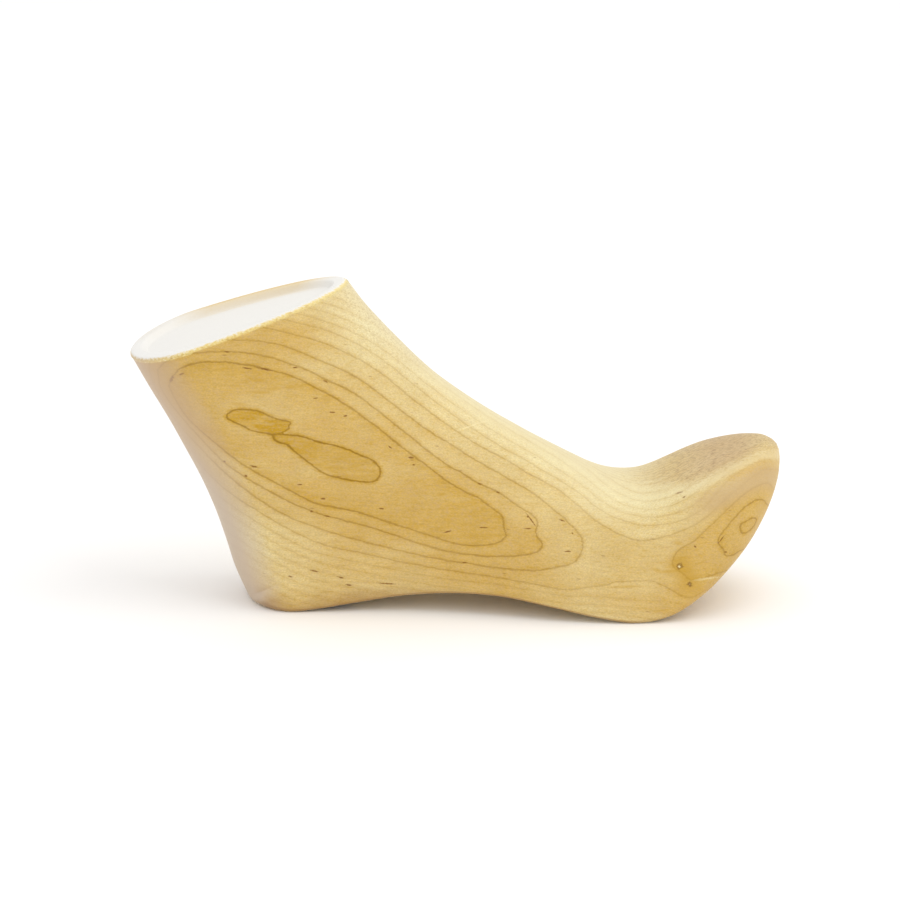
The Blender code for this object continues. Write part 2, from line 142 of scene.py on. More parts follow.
# Where rings come out on the inner side, as closed outlines in millimetres: x, and the height less what
# the rings climb. The first figure of each is the ring's number counted from the innermost.
GROWTH_OUTLINES = {
    "instep rings": (9, (
        (-158, 158), (-130, 163), (-98, 163), (-70, 158), (-48, 150), (-26, 137), (-7, 121.5),
        (10, 109), (28, 97), (50, 83), (66, 71), (78, 60), (90, 53.5), (102, 54.5), (113, 60), (125, 67),
        (140, 76), (156, 83), (180, 86), (200, 70), (205, 20), (180, -30), (135, -42), (100, -24),
        (76, -17), (38, -15), (21, -13), (-11, -8), (-50, -1), (-80, 7), (-108, 24), (-134, 44),
        (-154, 66), (-170, 90), (-182, 115), (-180, 142),
    )),
    "second whole figure": (5, (
        (-158, 140), (-130, 145), (-98, 145), (-74, 140.5), (-55, 134), (-36, 122.5), (-17, 106.5),
        (0, 93), (17.2, 80.9), (33.4, 71.1), (45.2, 63.9), (54.5, 58), (62, 52.8), (69.5, 46.2),
        (79.4, 40.3), (91.9, 36.8), (98.1, 36.6), (104.3, 37.4), (110.6, 39), (118, 42.3), (123, 46.2),
        (128.5, 53), (135, 60.3), (142.9, 66.2), (150, 69.8), (158, 71), (172, 70), (187, 60), (190, 28),
        (172, -8), (135, -11), (118, -7), (111.2, -4.5), (103.1, -2.9), (91.9, -2.6), (73.2, -0.9),
        (54.5, -0.3), (47, 1), (35.9, 3), (21, 5.5), (-11, 9.5), (-45, 16.5), (-72, 23.5), (-98, 38),
        (-120, 54), (-138, 74), (-152, 95), (-162, 112), (-164, 128),
    )),
    "whole figure": (4, (
        (-157, 118), (-152, 133), (-130, 139), (-100, 139.5), (-78, 135), (-60, 129), (-40, 118),
        (-21, 102), (-5, 89.5), (9.7, 79.3), (24.7, 70.7), (38.3, 62.2), (50.8, 55), (58.3, 48.8),
        (67, 41), (75.7, 34.8), (85, 30.2), (91.9, 28.6), (98.8, 29.5), (110.6, 33.5), (119.3, 37.7),
        (126.7, 43.6), (135.5, 52.1), (144.8, 60), (150.4, 64.2), (156.6, 65.7), (168, 62), (180, 45),
        (178, 14), (158, 7), (135, 5), (124, 2.5), (118.7, -0.3), (114.5, -1), (110.6, 0.4), (106.2, 3.4),
        (100, 6.3), (95.5, 7.5), (80.7, 7.3), (77.6, 6.7), (75.1, 5.5), (67, 4.6), (57, 3), (49.6, 3.7),
        (38, 6), (22, 9), (-10, 14), (-43, 21), (-70, 28), (-95, 42), (-116, 57), (-133, 76), (-147, 96),
        (-155, 108),
    )),
    "ankle outer": (3, (
        (-151, 121), (-146, 128), (-134, 131), (-115, 132.5), (-90, 131), (-72, 124.3), (-50, 114),
        (-34, 102), (-15, 87), (-1.5, 78), (12.2, 69.1), (24.7, 61.6), (37.1, 54.1), (45.8, 47.2),
        (53.3, 40.6), (59.5, 34.1), (62.5, 29.5), (62.9, 25), (61.4, 20.7), (58, 17), (50.8, 14.8),
        (38, 13), (24, 13.8), (9, 16.1), (-12, 19.5), (-42, 27), (-68, 35), (-90, 45), (-112, 62),
        (-130, 81), (-142, 96), (-149, 110),
    )),
    "ankle middle": (2, (
        (-146.5, 113), (-146, 118), (-141.8, 122), (-134, 125), (-121.6, 126.2), (-111, 126.4),
        (-100.5, 125.5), (-90.5, 123.3), (-81.2, 120.3), (-71.2, 116.2), (-64, 112), (-50, 105.1),
        (-27, 86.5), (-7.7, 70.4), (2.9, 63.9), (12.2, 58), (21.5, 53.5), (29, 47.8), (35.9, 43.6),
        (39.7, 40), (40.8, 37.3), (39.7, 33.8), (40.3, 30.5), (43, 26.8), (41, 23.3), (35.2, 21.2),
        (25.9, 20.4), (12, 20.5), (-4.6, 23), (-18, 27), (-44, 36), (-71.2, 43.7), (-90.5, 53.4),
        (-103.6, 61.3), (-116, 71), (-134, 91), (-144, 105),
    )),
    "ankle inner": (1, (
        (-141, 108.4), (-139.8, 112.5), (-136, 117.2), (-128, 120.5), (-116.7, 121.3), (-101, 119.4),
        (-88, 116.2), (-79.3, 113.3), (-60, 103), (-43, 90.8), (-26, 77), (-7.7, 62.2), (4.1, 54.4),
        (11, 51.1), (17.8, 45.6), (22.8, 41.2), (23.9, 35.5), (25, 31.2), (22.2, 28), (14, 26),
        (4, 26.1), (-7.7, 29.4), (-26, 35.6), (-50, 43.7), (-66.9, 47.2), (-76.8, 51.8), (-91.8, 60.3),
        (-106, 68.8), (-119.1, 79.6), (-131.6, 91.4), (-137.2, 99.9),
    )),
    "upper island": (0, (
        (-112.9, 93.2), (-110.5, 95.6), (-107, 96.7), (-100.5, 96.5), (-96.7, 95.8), (-93, 93.6),
        (-88, 91.7), (-81.7, 90.2), (-82.4, 88), (-82.6, 86.4), (-87.4, 84.3), (-94.9, 84.6),
        (-101.7, 86.1), (-104.2, 88), (-109.8, 90.4),
    )),
    "lower island": (0, (
        (-90.5, 82.7), (-88.3, 83.7), (-78.1, 83.2), (-71.2, 81.2), (-66.9, 79.7), (-58.1, 77.6),
        (-48.2, 73.5), (-41.2, 70.3), (-37.4, 66.2), (-37.8, 61.5), (-41.9, 59), (-50, 59.6),
        (-62.5, 62.6), (-68.7, 66.2), (-80.6, 76), (-82.2, 78.3), (-87.4, 79.8),
    )),
    "toe outer": (3, (
        (107.4, 16.8), (107.6, 19.6), (110, 23.8), (116.8, 27.9), (123, 33.5), (128.6, 39.3), (135.5, 46.2),
        (142.9, 53.1), (148.6, 56.7), (153.5, 58.4), (157.3, 56.3), (166, 44), (160, 22), (148, 15),
        (134.2, 12.8), (124.3, 9.5), (117, 7.9), (113, 10.8), (108.4, 14.6),
    )),
    "toe middle": (2, (
        (129.4, 27.9), (131.1, 31.8), (135.5, 37.4), (140.4, 43.6), (145.4, 48), (150.4, 50),
        (153.5, 48.5), (157, 42), (155, 32), (148, 26), (141.1, 23.3), (137.3, 21), (133.4, 20.8),
        (132.4, 24),
    )),
    "toe inner": (1, (
        (140.8, 35), (141.1, 37), (144.8, 39.3), (147.5, 40.2), (149.1, 39.2), (147.4, 35.8), (144.8, 33),
        (142, 32.4),
    )),
}
OUTLINE_PARENTS = {
    "second whole figure": "instep rings",
    "whole figure": "second whole figure",
    "ankle outer": "whole figure",
    "ankle middle": "ankle outer",
    "ankle inner": "ankle middle",
    "upper island": "ankle inner",
    "lower island": "ankle inner",
    "toe outer": "whole figure",
    "toe middle": "toe outer",
    "toe inner": "toe middle",
}
OUTLINE_STEPS = 6  # steps from one point of an outline to the next
RING_GAP = 4.5  # millimetres from ring to ring where nothing else sets it
SIDE_RING_GAP = 5.5  # millimetres from ring to ring across the top and the outer side
SIDE_START = -6.0  # where these begin, from the middle
CORE_SHARE = 0.9  # how much of a ring's number is gone inside an innermost line
SLOPE_REACH = 0.3  # millimetres each way over which the rings' slope is measured
MARK_REACH = 3.2  # how far out from a mark's middle its nearness is known, in its half sizes
GRAIN_SLANT = math.radians(-3.0)  # the fibres run a little down towards the toe
TOE_SLANT = math.radians(27.0)  # the climb of the toe's ridge, and of the streaks over it

# Marks on the inner side, in the same millimetres as the outlines: x, height less climb, half of the length
# and of the width, and how far the mark climbs towards the toe in degrees. First the short brown flecks
FLECKS = (
    (-139.9, 112.1, 1.7, 0.8, 60),
    (-134.9, 114.9, 1.7, 0.4, 20),
    (-94.2, 117.5, 3.5, 0.5, -10),
    (-102.3, 117.9, 2.5, 0.4, -6),
    (-112.3, 126.3, 1.3, 0.35, -3),
    (-131.6, 125.1, 0.9, 0.35, 10),
    (-79.0, 118.3, 1.0, 0.35, 10),
    (-63.9, 111.2, 1.1, 0.4, -30),
    (-69.0, 102.5, 1.1, 0.3, 10),
    (-60.6, 95.2, 1.2, 0.35, 0),
    (-54.4, 93.3, 1.0, 0.4, 15),
    (-114.2, 69.8, 0.6, 0.35, -40),
    (-99.5, 67.1, 2.0, 0.5, -12),
    (-103.6, 62.2, 0.7, 0.45, -30),
    (-76.8, 57.7, 1.0, 0.3, 0),
    (-65.6, 50.3, 1.2, 0.45, 0),
    (-71.2, 43.7, 0.7, 0.45, 0),
    (-63.7, 41.3, 1.2, 0.35, -10),
    (-36.6, 45.1, 1.3, 0.4, -5),
    (-70.4, 12.6, 1.9, 0.4, -12),
    (-56.8, 9.1, 1.8, 0.4, -14),
    (-53.1, 5.2, 1.4, 0.35, -10),
    (-34.1, 5.9, 3.6, 0.35, -4),
    (-82.0, 9.7, 1.0, 0.35, -8),
    (-32.4, 77.2, 0.9, 0.35, -35),
    (-21.9, 71.7, 1.2, 0.5, -10),
    (-20.7, 68.0, 0.7, 0.45, 5),
    (13.8, 35.3, 2.2, 0.35, 0),
    (-4.0, 33.1, 1.7, 0.35, 14),
    (12.0, 58.0, 1.1, 0.4, -10),
    (21.0, 53.6, 0.9, 0.4, -10),
    (36.0, 34.8, 1.4, 0.4, 0),
    (35.7, 41.0, 0.6, 0.5, -40),
    (52.7, 39.1, 1.2, 0.45, -20),
    (57.8, 32.3, 0.6, 0.4, -40),
    (55.4, 23.0, 1.5, 0.35, 0),
    (4.5, 17.0, 1.1, 0.35, 0),
    (110.6, 53.5, 1.6, 0.35, 20),
    (112.7, 51.2, 0.8, 0.35, 30),
    (118.3, 25.6, 0.6, 0.45, -40),
    (37.4, 39.3, 3.9, 0.3, -55),
    (131.5, 29.5, 2.2, 0.3, 55),
    (133.6, 22.6, 0.8, 0.4, -10),
)
# Next the golden streaks, which are wider and softer
STREAKS = (
    (-7.1, 52.6, 2.4, 0.8, 10),
    (-96.4, 111.7, 2.6, 0.8, 0),
    (-89.9, 107.2, 3.4, 0.9, 3),
    (-81.5, 108.3, 2.2, 0.8, 5),
    (-96.0, 105.4, 5.0, 0.7, 0),
    (-57.5, 71.0, 3.6, 0.8, 4),
    (-60.5, 66.9, 5.0, 0.8, 6),
    (-49.0, 67.5, 3.0, 0.9, 10),
    (-106.5, 99.4, 4.0, 0.9, -5),
    (-134.4, 110.5, 1.6, 0.5, 5),
    (109.8, 27.4, 2.2, 1.0, -10),
    (104.5, 12.5, 4.5, 0.8, 4),
    (100.0, 13.0, 3.0, 1.0, -20),
    (84.0, 4.6, 9.0, 0.8, 2),
)
# Last the pale ones: a scuff over the instep and a shining streak by the lower knot
SCUFFS = (
    (8.5, 88.5, 9.0, 0.35, 21),
    (123.3, 8.6, 6.5, 0.55, 7),
)
# The two small knots on the inner side of the ball: x, height less climb, radius of the dark ring, and how
# dark the middle is
KNOTS = ((110.7, 15.3, 1.1, 0.0), (115.8, 5.8, 0.7, 0.75))
KNOT_HALO = 9.0  # millimetres round a knot over which the wood is deeper

CAMERA_LENS = 300.0  # millimetres: a long lens, as the photograph shows almost no perspective
CAMERA_ELEVATION = math.radians(18.0)
CAMERA_TARGET = (-2.74 * MM, 0.0, 75.66 * MM)
PICTURE_WIDTH = 448.2 * MM  # how much the picture takes in at the last
SENSOR_WIDTH = 36.0
CAMERA_REACH = 20.0  # metres
FLOOR_HALF = 6.0  # metres from the middle of the floor to its edges
LIGHT_TARGET = (0.0, 0.0, 0.06)
KEY_SIZE = 1.2
KEY_PLACE = (0.7, -0.3, 1.3)
FRONT_SIZE = 1.6
FRONT_PLACE = (-0.3, -2.0, 0.5)


def linear(hex_colour):
    """A colour as the shader takes it, from its sRGB hex value."""
    parts = [int(hex_colour[i : i + 2], 16) / 255 for i in (1, 3, 5)]
    return tuple(v / 12.92 if v <= 0.04045 else ((v + 0.055) / 1.055) ** 2.4 for v in parts)


def colour_setting(name, hex_colour, description):
    """A colour that a user may change."""
    return bpy.props.FloatVectorProperty(
        name=name,
        description=description,
        default=linear(hex_colour),
        subtype="COLOR",
        size=3,
        min=0.0,
        max=1.0,
    )


def length_setting(name, description, usual, least, most):
    """A length that a user may change, given in millimetres."""
    return bpy.props.FloatProperty(
        name=name,
        description=description,
        default=usual * MM,
        min=least * MM,
        max=most * MM,
        unit="LENGTH",
    )


class LastWoodSettings(bpy.types.PropertyGroup):
    """The maple block."""

    pale: colour_setting("Pale maple", "#E5DAAA", "The pale wood at the outside of the figure")
    deep: colour_setting("Deep maple", "#C9A862", "The yellower wood in the middle of the figure")
    gold: colour_setting("Golden maple", "#BB9122", "The golden late wood before each ring's line")
    # Also laid as a painted sheen, greyer where the heel's upper back faces back.
    fawn: colour_setting("Fawn maple", "#BE9C70", "The fine greyer speckle between the fibres")
    # Painted sheen: the greyer colour where the heel faces back, standing in for glancing reflection.
    back_sheen: colour_setting("Glancing maple", "#C0AE9D", "The greyer wood at the back of the heel")
    # Painted shade: the duller, browner colour on the up-facing top of the toe.
    toe_top_shade: colour_setting("Shaded maple", "#BD9F72", "The duller wood on top of the toe")
    line: colour_setting("Ring line", "#825E0A", "The thin dark line that ends each year's growth")
    fleck: colour_setting("Fleck", "#7A4C14", "The short brown flecks along the fibres")
    # Painted highlight: whiter on the up-facing crest, the front of the cone and the toe's ridge.
    crest: colour_setting("Crest maple", "#DDD0A9", "The whiter wood over the crest")
    # Painted shade: the greyer band under the toe's ridge.
    under_ridge_shade: colour_setting("Ridge maple", "#C0A67F", "The wood under the ridge of the toe")
    open_pores: colour_setting("Open pores", "#8F6E42", "The dark open pores on top of the toe")
    # Painted shade: the brown line where the sole's edge turns down.
    edge: colour_setting("Shadowed edge", "#8A5E3A", "The brown shadowed edge of the sole")
    knot: colour_setting("Knot", "#6E4A20", "The dark ring round a small knot")
    scuff: colour_setting("Scuff", "#E8D8A4", "The pale scuffs")
    # Painted highlight: the burned-out near-white of the dish.
    top: colour_setting("Dished top", "#E5E4E2", "The chalky end grain in the dish")
    # Painted highlight: the bright yellow along the top's rounded edge.
    rim: colour_setting("Rim of the top", "#E8D48E", "The bright yellow edge round the top")
    # Painted shade: the tan along the dish's far wall.
    dish_far_shade: colour_setting("Far rim of the top", "#D4B052", "The tan wood along the outer side of the dish")
    line_width: length_setting("Ring line width", "How wide a growth ring's dark line is", 0.7, 0.1, 2.0)
    fibre_width: length_setting("Fibre width", "How wide the streaks of fibres are drawn", 0.8, 0.1, 3.0)
    fleck_length: length_setting("Fleck length", "How long the flecks are", 4.0, 1.0, 10.0)
    roughness: bpy.props.FloatProperty(
        name="Roughness",
        description="Roughness of the sanded wood",
        default=0.5,
        min=0.0,
        max=1.0,
        subtype="FACTOR",
    )


class LastSteelSettings(bpy.types.PropertyGroup):
    """The heel plate and its screws."""

    plate: colour_setting("Rolled steel", "#8E8C89", "The rolled steel of the heel plate")
    screws: colour_setting("Bright steel", "#B4B1AC", "The bright steel of the screws")
    tarnish: colour_setting("Tarnish", "#6F675E", "The darker clouds on the plate")
    worn: colour_setting("Worn steel", "#8A8680", "The darker clouds on the screws")
    edge: length_setting("Broken edge", "How far the edges of the steel are broken", 0.25, 0.0, 0.6)


class LastStageSettings(bpy.types.PropertyGroup):
    """The floor, the light and the camera."""

    floor: colour_setting("Floor", "#FAF9F8", "The pale floor")
    key: bpy.props.FloatProperty(
        name="Key light",
        description="Power of the large soft light above",
        default=6.5,
        min=0.0,
        unit="POWER",
    )
    front: bpy.props.FloatProperty(
        name="Front light",
        description="Power of the soft light in front",
        default=2.0,
        min=0.0,
        unit="POWER",
    )
    surround: bpy.props.FloatProperty(
        name="Surround",
        description="Brightness of the pale room",
        default=1.0,
        min=0.0,
        max=4.0,
    )


def smooth_slopes(values):
    """Slopes of a smooth curve at each of the given values."""
    steps = np.diff(values, axis=0)
    inner = (steps[:-1] + steps[1:]) / 2
    return np.vstack([steps[:1], inner, steps[-1:]])


def all_sections():
    """The sections with the steps between them, in metres, as a dictionary each."""
    table = np.array(SECTIONS)
    slopes = smooth_slopes(table)
    sections = []
    for place in np.linspace(0, len(table) - 1, (len(table) - 1) * SECTION_STEPS + 1):
        i = min(int(place), len(table) - 2)
        t = place - i
        row = (
            table[i] * (1 + 2 * t) * (1 - t) ** 2
            + slopes[i] * t * (1 - t) ** 2
            + table[i + 1] * t * t * (3 - 2 * t)
            - slopes[i + 1] * t * t * (1 - t)
        )
        stretched = row * list(COLUMN_STRETCHES.values())
        section = dict(zip(COLUMN_STRETCHES, stretched * MM))
        section["crest_power"] /= MM
        section["base_z"] = max(section["base_z"], 0.0)
        sections.append(section)
    for i, section in enumerate(sections):
        before = sections[max(i - 1, 0)]
        after = sections[min(i + 1, len(sections) - 1)]
        run = Vector((after["base_x"] - before["base_x"], after["base_z"] - before["base_z"]))
        up = Vector((section["crest_x"] - section["base_x"], section["crest_z"] - section["base_z"]))
        section["length"] = up.length
        section["lean"] = abs(run.normalized().cross(up.normalized()))
    return sections


def rounding(distance, depth, power=2.0):
    """Share of the full width at a distance from where a rounded end starts."""
    gone = 1.0 - min(max(distance / depth, 0.0), 1.0)
    return (1.0 - gone**power) ** (1.0 / power)


def heel_round(height):
    """How far forward the round of the heel reaches at a height."""
    return SEAT_ROUND + (CONE_ROUND - SEAT_ROUND) * min(max(height / LAST_HEIGHT, 0.0), 1.0)


def half_width(section, share):
    """Half-width of a section at a share of the way from its base to its crest."""
    along = section["length"] * share
    z = section["base_z"] + (section["crest_z"] - section["base_z"]) * share
    radius = section["edge_radius"]
    on_heel_back = section["base_x"] < HEEL_BACK_X + radius
    height = z if on_heel_back else along * section["lean"]
    inset = radius - math.sqrt(radius**2 - (radius - min(height, radius)) ** 2)
    rise = 1.0 - min(height / EDGE_RISE, 1.0)
    width = section["half_width"] - section["tuck"] * rise**2 - inset
    behind = max(section["base_x"] - HEEL_BACK_X, 0.0) + along - inset
    heel = rounding(behind, heel_round(z) - inset)
    crest = rounding(section["length"] - along, section["crest_depth"], section["crest_power"])
    return max(width, 0.0) * heel * crest


def ring(section):
    """The section's outline: sole from its middle, near side, crest, far side, and back to the sole."""
    base = Vector((section["base_x"], section["sway"], section["base_z"]))
    crest = Vector((section["crest_x"], section["sway"], section["crest_z"]))
    edge = half_width(section, 0.0)
    sole = [Vector((0, edge * k / SOLE_STEPS, 0)) for k in range(SOLE_STEPS)]
    near = [base - offset for offset in sole]
    far = [base + offset for offset in sole[1:]]
    for j in range(RING_STEPS):
        share = (1.0 - math.cos(math.pi * j / RING_STEPS)) / 2.0
        middle = base.lerp(crest, share)
        offset = Vector((0, half_width(section, share), 0))
        near.append(middle - offset)
        far.append(middle + offset)
    return [*near, crest, *reversed(far)]


def cone_top(section):
    """The middle of the cone's top, and the direction that it faces."""
    base = Vector((section["base_x"], 0, section["base_z"]))
    crest = Vector((section["crest_x"], 0, section["crest_z"]))
    across = (crest - base).normalized()
    return (base + crest) / 2, Vector((-across.z, 0, across.x))


def cone_top_steps():
    """Insets from the cone's outline and drops below its top, from the rounded edge to the dish's floor."""
    steps = []
    for k in range(1, ROUND_STEPS + 1):
        turn = math.pi / 2 * k / ROUND_STEPS
        steps.append((TOP_EDGE_RADIUS * (1 - math.cos(turn)), TOP_EDGE_RADIUS * (1 - math.sin(turn))))
    lip = TOP_EDGE_RADIUS + LIP_WIDTH
    for k in range(ROUND_STEPS + 1):
        share = k / ROUND_STEPS
        steps.append((lip + DISH_WALL_RUN * share, DISH_DEPTH * (1 - math.cos(math.pi * share)) / 2))
    return steps


def cone_top_ring(section, outline, inset, drop):
    """The cone's outline drawn in by an inset, at a drop below the top."""
    middle, normal = cone_top(section)
    long_radius = max((point - middle).length for point in outline)
    wide_radius = max(abs(point.y) for point in outline)
    points = []
    for point in outline:
        across = Vector((0, point.y, 0))
        along = point - middle - across
        along *= 1 - inset / long_radius
        across *= 1 - inset / wide_radius
        points.append(middle + along + across - normal * drop)
    return points


def dish_floor_rings(rim):
    """Rings across the dish's floor, from its middle out to its rim."""
    middle = sum(rim, Vector()) / len(rim)
    shares = [k / DISH_FLOOR_STEPS for k in range(DISH_FLOOR_STEPS)]
    return [[middle.lerp(point, share) for point in rim] for share in shares]


def joined_rings(name, rings):
    """A closed mesh from rings of points. A ring that is drawn together at a point closes its end."""
    mesh = bmesh.new()
    loops = [[mesh.verts.new(point) for point in points] for points in rings]
    count = len(loops[0])
    for inner, outer in zip(loops, loops[1:]):
        for k in range(count):
            mesh.faces.new((inner[k], outer[k], outer[(k + 1) % count], inner[(k + 1) % count]))
    bmesh.ops.remove_doubles(mesh, verts=mesh.verts, dist=MERGE_GAP)
    bmesh.ops.recalc_face_normals(mesh, faces=mesh.faces)
    return as_object(name, mesh)


def as_object(name, mesh):
    """An object from a bmesh, linked to the scene."""
    data = bpy.data.meshes.new(name)
    mesh.to_mesh(data)
    mesh.free()
    made = bpy.data.objects.new(name, data)
    bpy.context.scene.collection.objects.link(made)
    return made


def apply_modifiers(piece):
    """Turns a piece's modifiers into its mesh."""
    evaluated = piece.evaluated_get(bpy.context.evaluated_depsgraph_get())
    finished = bpy.data.meshes.new_from_object(evaluated)
    piece.modifiers.clear()
    old = piece.data
    piece.data = finished
    bpy.data.meshes.remove(old)


def smooth_shading(piece, turn):
    """Shades a piece smooth up to its sharp edges."""
    piece.data.shade_smooth()
    piece.data.set_sharp_from_angle(angle=math.radians(turn))


def grown_copy(node, name, hull=False):
    """A CAD node's shape, grown by the clearance, to cut with. A hull has the screw's slot filled."""
    mesh = bmesh.new()
    mesh.from_mesh(node.data)
    bmesh.ops.remove_doubles(mesh, verts=mesh.verts, dist=MERGE_GAP)
    bmesh.ops.recalc_face_normals(mesh, faces=mesh.faces)
    mesh.normal_update()
    moves = [vert.normal * CLEARANCE * vert.calc_shell_factor() for vert in mesh.verts]
    for vert, move in zip(mesh.verts, moves):
        vert.co += move
    if hull:
        places = [vert.co.copy() for vert in mesh.verts]
        mesh.clear()
        bmesh.ops.convex_hull(mesh, input=[mesh.verts.new(place) for place in places])
        inner = [vert for vert in mesh.verts if not vert.link_faces]
        bmesh.ops.delete(mesh, geom=inner, context="VERTS")
    return as_object(name, mesh)


def closed_curve(points):
    """A smooth closed curve through points, as many short steps."""
    corners = np.array(points, dtype=float)
    before = np.roll(corners, 1, axis=0)
    after = np.roll(corners, -1, axis=0)
    beyond = np.roll(corners, -2, axis=0)
    steps = []
    for t in np.arange(OUTLINE_STEPS) / OUTLINE_STEPS:
        steps.append(
            0.5
            * (
                2 * corners
                + (after - before) * t
                + (2 * before - 5 * corners + 4 * after - beyond) * t**2
                + (3 * corners - before - 3 * after + beyond) * t**3
            )
        )
    return np.stack(steps, axis=1).reshape(-1, 2)


def distance_and_inside(places, curve):
    """How far each place is from a closed curve, and whether it lies inside it."""
    starts = curve
    ends = np.roll(curve, -1, axis=0)
    nearest = np.full(len(places), np.inf)
    crossings = np.zeros(len(places), dtype=int)
    for (x0, z0), (x1, z1) in zip(starts, ends):
        run_x, run_z = x1 - x0, z1 - z0
        share = ((places[:, 0] - x0) * run_x + (places[:, 1] - z0) * run_z) / (run_x**2 + run_z**2)
        share = np.clip(share, 0.0, 1.0)
        gap = np.hypot(places[:, 0] - x0 - share * run_x, places[:, 1] - z0 - share * run_z)
        nearest = np.minimum(nearest, gap)
        if z0 != z1:
            spans = (places[:, 1] < z0) != (places[:, 1] < z1)
            crossings += spans & (places[:, 0] < x0 + (places[:, 1] - z0) * run_x / run_z)
    return nearest, crossings % 2 == 1


def one_ring(to_outer, to_inner):
    """How much of a ring's number is gone between its two lines, leaving both lines at the same slope."""
    share = to_outer / (to_outer + to_inner)
    blend = share * share * (3 - 2 * share)
    from_outer = 0.5 * (1 - np.exp(-2 * to_outer / RING_GAP))
    from_inner = 1 - 0.5 * (1 - np.exp(-2 * to_inner / RING_GAP))
    return from_outer + (from_inner - from_outer) * blend


def ring_numbers(places):
    """The number of the growth ring at each place on the inner side, with its fraction: once with the same
    slope at every ring's line, so that the lines come out equally wide, and once growing evenly between."""
    measured = {
        name: distance_and_inside(places, closed_curve(points))
        for name, (_, points) in GROWTH_OUTLINES.items()
    }
    ruled = np.zeros(len(places))
    even = np.zeros(len(places))
    for name, (level, _) in GROWTH_OUTLINES.items():
        gap, inside = measured[name]
        if name not in OUTLINE_PARENTS:
            ruled = np.where(inside, ruled, level + gap / RING_GAP)
            even = np.where(inside, even, level + gap / RING_GAP)
        children = [child for child, parent in OUTLINE_PARENTS.items() if parent == name]
        if children:
            rings = level - GROWTH_OUTLINES[children[0]][0]
            to_child = np.min([measured[child][0] for child in children], axis=0) + 1e-6
            within_even = level - rings * gap / (gap + to_child)
            within_ruled = level - one_ring(gap, to_child) if rings == 1 else within_even
        else:
            within_ruled = level - CORE_SHARE * (1 - np.exp(-gap / RING_GAP / CORE_SHARE))
            within_even = within_ruled
        ruled = np.where(inside, within_ruled, ruled)
        even = np.where(inside, within_even, even)
    return ruled, even


def corner_values(mesh, kind):
    """The places or the normals of a mesh's corners, a row each."""
    values = np.empty(len(mesh.vertices) * 3)
    mesh.vertices.foreach_get(kind, values)
    return values.reshape(-1, 3)


def add_attribute(mesh, name, values):
    """Stores a value at each corner of a mesh."""
    attribute = mesh.attributes.new(name, "FLOAT", "POINT")
    attribute.data.foreach_set("value", values.astype(np.float32))


def add_growth(piece):
    """Gives each corner of the block its ring numbers, and how fast the first changes along the surface."""
    mesh = piece.data
    places = corner_values(mesh, "co") / MM
    normals = corner_values(mesh, "normal")
    flat = np.column_stack([places[:, 0], places[:, 2] + RING_CLIMB * places[:, 1]])
    beside = places[:, 1] - SIDE_START
    side = np.maximum(beside, 0.0) / SIDE_RING_GAP
    ruled, even = ring_numbers(flat)
    change_x, change_z = (
        (ring_numbers(flat + step)[0] - ring_numbers(flat - step)[0]) / (2 * SLOPE_REACH)
        for step in np.eye(2) * SLOPE_REACH
    )
    change_y = RING_CLIMB * change_z + (beside > 0) / SIDE_RING_GAP
    rise = np.column_stack([change_x, change_y, change_z])
    rise -= normals * np.sum(rise * normals, axis=1, keepdims=True)
    slope = np.linalg.norm(rise, axis=1)
    for name, values in (("growth", ruled + side), ("season", even + side), ("growth_slope", slope)):
        add_attribute(mesh, name, values)


def add_top(piece, section, outline):
    """Marks the cone's sanded top on the block: how many millimetres each corner lies inwards of the top's
    outline, and less than 0 below its edge."""
    places = corner_values(piece.data, "co")
    middle, direction = cone_top(section)
    along = np.array((direction.z, 0.0, -direction.x))
    height = (places - np.array(middle)) @ np.array(direction)
    values = np.minimum(height + TOP_EDGE_RADIUS, 0.0) / MM
    on_top = np.flatnonzero(height > -DISH_DEPTH - 0.5 * MM)
    edge = np.array(outline)
    edge = edge[np.linalg.norm(edge - np.roll(edge, 1, axis=0), axis=1) > 0.01 * MM]
    flat = [np.column_stack([(p - np.array(middle)) @ along, p[:, 1]]) for p in (places[on_top], edge)]
    inset, inside = distance_and_inside(flat[0] / MM, flat[1] / MM)
    values[on_top] = np.where(inside, inset, values[on_top])
    add_attribute(piece.data, "top_inset", values)


def add(tree, kind, inputs=(), operation=None, **settings):
    """Adds a node with its settings, fills its inputs with values or links, by order or by name, and gives
    its first output in use."""
    node = tree.nodes.new(f"ShaderNode{kind}")
    if operation:
        node.operation = operation
    for name, value in settings.items():
        setattr(node, name, value)
    for key, value in inputs.items() if isinstance(inputs, dict) else enumerate(inputs):
        if isinstance(value, bpy.types.NodeSocket):
            tree.links.new(value, node.inputs[key])
        else:
            node.inputs[key].default_value = value
    return next(output for output in node.outputs if output.enabled)


def plain_material(name):
    """A material with only its shader, its tree and the shader."""
    material = bpy.data.materials.new(name)
    material.use_nodes = True
    tree = material.node_tree
    return material, tree, tree.nodes["Principled BSDF"]


def share(tree, *factors):
    """Several shares in one, their product. A factor in brackets is a value, the two ends it runs between
    and the shares at these ends."""
    product = None
    for factor in factors:
        if isinstance(factor, tuple):
            factor = add(tree, "MapRange", factor)
        product = factor if product is None else add(tree, "Math", (product, factor), "MULTIPLY")
    return product


def laid(tree, colour, *layers):
    """Tints laid over a colour, each given with the factors of the share it covers."""
    for tint, *factors in layers:
        inputs = {0: share(tree, *factors), 6: colour, 7: (*tint, 1.0)}
        colour = add(tree, "Mix", inputs, data_type="RGBA")
    return colour


